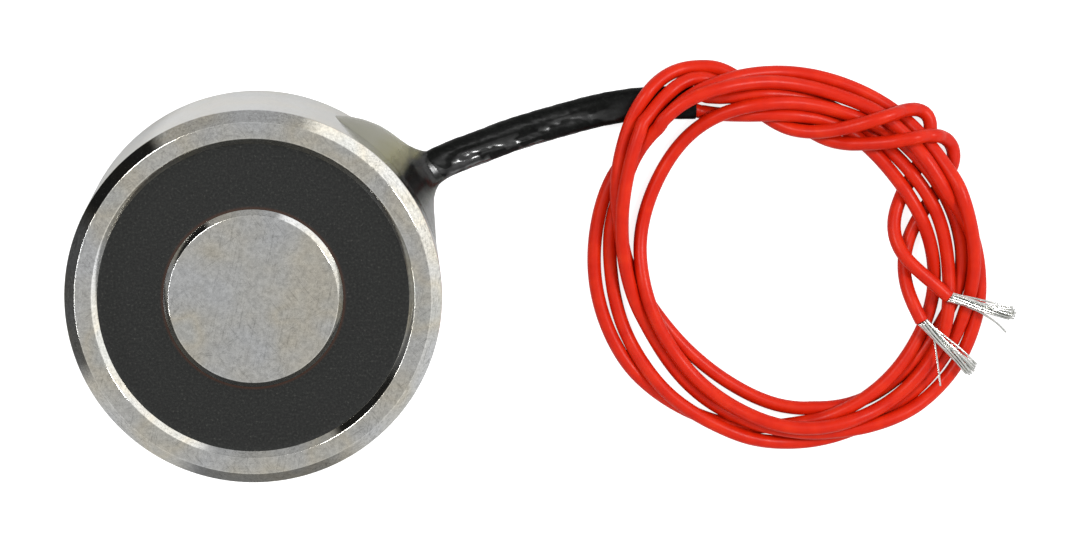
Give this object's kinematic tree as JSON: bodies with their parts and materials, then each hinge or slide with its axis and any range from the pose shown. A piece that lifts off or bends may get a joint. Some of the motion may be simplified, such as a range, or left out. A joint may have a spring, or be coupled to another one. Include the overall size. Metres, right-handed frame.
{
  "type": "holding electromagnet",
  "caption": "Round pot-shaped holding electromagnet: steel cup and core round a resin-sealed winding, tapped hole in the back, red flying leads in a coil.",
  "frame": {"origin": "centre of the cup's flat back face", "axes": "+Z along the magnet's axis, out of the pole face; +X towards the coil of leads on the table, so that the leads leave the wall between +X and +Y"},
  "size_m": [0.0885, 0.0384, 0.018],
  "materials": {
    "plated_steel": "bright plated, lightly scratched",
    "plated_steel_core": "bright plated, lightly scratched",
    "nylon": "moulded",
    "enamelled_copper": "enamelled wire",
    "polyester_tape": "smooth film",
    "potting_resin": "cast, speckled, dull",
    "red_pvc": "extruded, satin",
    "solder": "soldered",
    "black_shrink": "shrunk, glossy",
    "clear_epoxy": "cured resin",
    "tinned_copper": "bright strands"
  },
  "bodies": {
    "root": {"housing": "plated_steel", "core": "plated_steel_core", "bobbin": "nylon", "winding": "enamelled_copper", "winding_tape": "polyester_tape", "potting": "potting_resin", "inner_lead_a": "red_pvc", "inner_lead_b": "red_pvc", "solder_joint_a": "solder", "solder_joint_b": "solder", "joint_sleeve_a": "black_shrink", "joint_sleeve_b": "black_shrink", "coil_end_a": "enamelled_copper", "coil_end_b": "enamelled_copper", "lead_sleeve": "black_shrink", "glue_bead": "clear_epoxy", "lead_coil": "red_pvc", "lead_tail_a": "red_pvc", "lead_tail_b": "red_pvc", "stripped_end_a": "tinned_copper", "stripped_end_b": "tinned_copper"}
  },
  "joints": []
}
